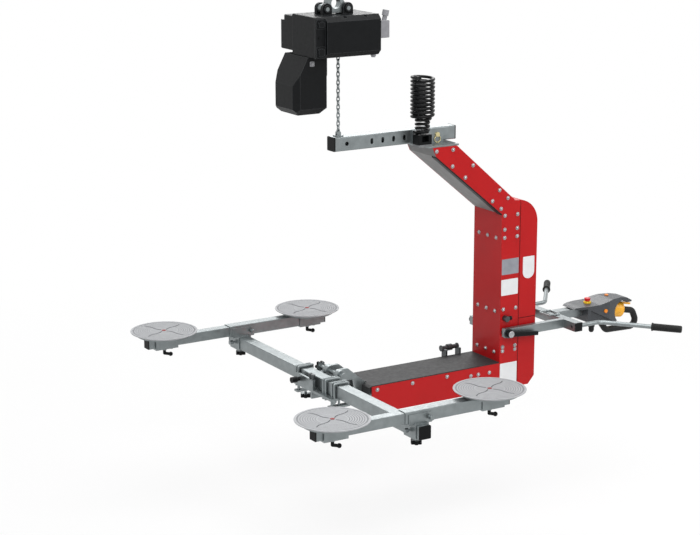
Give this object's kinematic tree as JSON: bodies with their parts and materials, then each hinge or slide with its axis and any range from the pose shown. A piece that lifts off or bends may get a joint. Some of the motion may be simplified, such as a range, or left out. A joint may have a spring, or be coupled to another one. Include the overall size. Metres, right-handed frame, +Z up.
{
  "type": "glass panel lifter",
  "caption": "Vacuum lifter for glass panels: C-shaped column with a tilting pad frame, steering handle with control unit, and a slotted boom on an electric chain hoist.",
  "frame": {"origin": "centre of the suspension eye's bore, on the frame's middle plane", "axes": "+Z up, +X from the pads to the operator's handle, +Y along the main beam of the pad frame and the eye's bore"},
  "size_m": [2.2797, 1.766, 1.804],
  "materials": {
    "black_cast": "satin powder coat",
    "black_plastic": "fine grain",
    "zinc_steel": "zinc plated",
    "yellow_zinc": "yellow zinc",
    "bolt_steel": "bright zinc",
    "red_paint": "gloss",
    "dark_cover": "fine texture",
    "grey_plate": "satin",
    "cast_motor": "cast",
    "pump_metal": "cast",
    "tank_paint": "satin",
    "pad_rubber": "matte",
    "cable_jacket": "satin",
    "grip_rubber": "matte",
    "grey_plastic": "fine grain",
    "plug_plastic": "fine grain",
    "collar_plastic": "gloss",
    "orange_plastic": "gloss",
    "red_plastic": "gloss"
  },
  "bodies": {
    "hoist": {"hoist_housing": "black_cast", "hoist_front_cover": "black_cast", "hoist_rear_cover": "black_plastic", "hoist_motor": "cast_motor", "suspension_eye": "zinc_steel", "chain_bucket": "black_plastic", "power_plug": "plug_plastic", "hoist_fasteners": "bolt_steel"},
    "wheel": {"chain_wheel": "zinc_steel"},
    "boom": {"load_chain": "zinc_steel", "chain_anchor": "zinc_steel", "boom_tube": "zinc_steel"},
    "frame": {"near_side_plate": "red_paint", "far_side_plate": "red_paint", "column_front_plate": "red_paint", "arm_underside_plate": "grey_plate", "rear_cover": "red_paint", "lower_arm_cover": "dark_cover", "lower_arm_floor": "dark_cover", "head_bracket": "zinc_steel", "vacuum_pump": "pump_metal", "vacuum_tank": "tank_paint", "frame_bolts": "bolt_steel", "cable_base": "grey_plastic", "spiral_cable": "cable_jacket", "cable_connector": "black_plastic", "slide_valve": "zinc_steel", "column_valve": "zinc_steel", "arm_end_block": "zinc_steel", "handle_shaft": "zinc_steel", "tilt_pin": "zinc_steel"},
    "boom_pin": {"boom_pin": "yellow_zinc"},
    "valve_sleeve": {"valve_sleeve": "bolt_steel"},
    "valve_knob": {"valve_knob": "black_plastic"},
    "handle": {"handle_frame": "zinc_steel", "handle_grips": "grip_rubber", "handlebars": "zinc_steel", "control_housing": "grey_plastic", "control_grip": "grip_rubber"},
    "clamp_lever": {"clamp_lever": "black_plastic"},
    "estop": {"estop_button": "red_plastic"},
    "attach_button": {"attach_button": "orange_plastic"},
    "release_button": {"release_button": "orange_plastic"},
    "lift_collar": {"lift_collar": "collar_plastic"},
    "tilt_head": {"tilt_bracket": "zinc_steel", "beam_clamps": "zinc_steel"},
    "beam_plunger": {"beam_plunger": "black_plastic"},
    "beam": {"main_beam": "zinc_steel"},
    "far_cross": {"far_cross_beam": "zinc_steel"},
    "far_inner": {"far_inner_tube": "zinc_steel"},
    "far_left_pad": {"far_left_carrier": "zinc_steel", "far_left_pad": "pad_rubber"},
    "far_right_pad": {"far_right_carrier": "zinc_steel", "far_right_pad": "pad_rubber"},
    "near_cross": {"near_cross_beam": "zinc_steel"},
    "near_inner": {"near_inner_tube": "zinc_steel"},
    "near_left_pad": {"near_left_carrier": "zinc_steel", "near_left_pad": "pad_rubber"},
    "near_right_pad": {"near_right_carrier": "zinc_steel", "near_right_pad": "pad_rubber"}
  },
  "joints": [
    {"name": "hoist_lift", "type": "slide", "parent": "hoist", "child": "boom", "axis": [0, 0, 1], "range_m": [-0.1, 0.04]},
    {"name": "chain_wheel_spin", "type": "hinge", "parent": "hoist", "child": "wheel", "pos_m": [-0.0168, 0, -0.1239], "axis": [0, -1, 0], "range_deg": [-156.7, 63.28]},
    {"name": "boom_adjust", "type": "slide", "parent": "boom", "child": "frame", "axis": [1, 0, 0], "range_m": [-0.327, 0]},
    {"name": "boom_pin_pull", "type": "slide", "parent": "frame", "child": "boom_pin", "axis": [0, -1, 0], "range_m": [0, 0.09]},
    {"name": "vacuum_slide", "type": "slide", "parent": "frame", "child": "valve_sleeve", "axis": [1, 0, 0], "range_m": [-0.02, 0.02]},
    {"name": "column_valve_turn", "type": "hinge", "parent": "frame", "child": "valve_knob", "pos_m": [0.836, -0.117, -1.436], "axis": [1, 0, 0], "range_deg": [0, 90]},
    {"name": "handle_tilt", "type": "hinge", "parent": "frame", "child": "handle", "pos_m": [0.82, 0, -1.498], "axis": [0, -1, 0], "range_deg": [-35, 25]},
    {"name": "clamp_lever_turn", "type": "hinge", "parent": "frame", "child": "clamp_lever", "pos_m": [0.82, -0.155, -1.498], "axis": [0, -1, 0], "range_deg": [0, 75]},
    {"name": "emergency_stop", "type": "slide", "parent": "handle", "child": "estop", "axis": [0, 0, -1], "range_m": [0, 0.004], "stiffness_N_per_m": 800},
    {"name": "attach_press", "type": "slide", "parent": "handle", "child": "attach_button", "axis": [0, 0, -1], "range_m": [0, 0.003], "stiffness_N_per_m": 600},
    {"name": "release_press", "type": "slide", "parent": "handle", "child": "release_button", "axis": [0, 1, 0], "range_m": [0, 0.003], "stiffness_N_per_m": 600},
    {"name": "lift_rock", "type": "hinge", "parent": "handle", "child": "lift_collar", "pos_m": [1.49004, 0, -1.50847], "axis": [0.98, 0, -0.1992], "range_deg": [-15, 15], "stiffness_Nm_per_rad": 1.5},
    {"name": "tilt_fold", "type": "hinge", "parent": "frame", "child": "tilt_head", "pos_m": [0, 0, -1.5866], "axis": [0, -1, 0], "range_deg": [0, 90]},
    {"name": "plunger_pull", "type": "slide", "parent": "tilt_head", "child": "beam_plunger", "axis": [-1, 0, 0], "range_m": [0, 0.012], "stiffness_N_per_m": 500},
    {"name": "beam_shift", "type": "slide", "parent": "tilt_head", "child": "beam", "axis": [0, 1, 0], "range_m": [-0.1, 0.1]},
    {"name": "far_cross_slide", "type": "slide", "parent": "beam", "child": "far_cross", "axis": [0, -1, 0], "range_m": [0, 0.25]},
    {"name": "far_inner_slide", "type": "slide", "parent": "far_cross", "child": "far_inner", "axis": [1, 0, 0], "range_m": [0, 0.15]},
    {"name": "far_left_pad_slide", "type": "slide", "parent": "far_inner", "child": "far_left_pad", "axis": [1, 0, 0], "range_m": [0, 0.09]},
    {"name": "far_right_pad_slide", "type": "slide", "parent": "far_cross", "child": "far_right_pad", "axis": [-1, 0, 0], "range_m": [0, 0.15]},
    {"name": "near_cross_slide", "type": "slide", "parent": "beam", "child": "near_cross", "axis": [0, 1, 0], "range_m": [0, 0.25]},
    {"name": "near_inner_slide", "type": "slide", "parent": "near_cross", "child": "near_inner", "axis": [1, 0, 0], "range_m": [0, 0.15]},
    {"name": "near_left_pad_slide", "type": "slide", "parent": "near_inner", "child": "near_left_pad", "axis": [1, 0, 0], "range_m": [0, 0.09]},
    {"name": "near_right_pad_slide", "type": "slide", "parent": "near_cross", "child": "near_right_pad", "axis": [-1, 0, 0], "range_m": [0, 0.15]}
  ],
  "couplings": [
    {"joint": "chain_wheel_spin", "follows": "hoist_lift", "rad_per_m": 27.174}
  ]
}
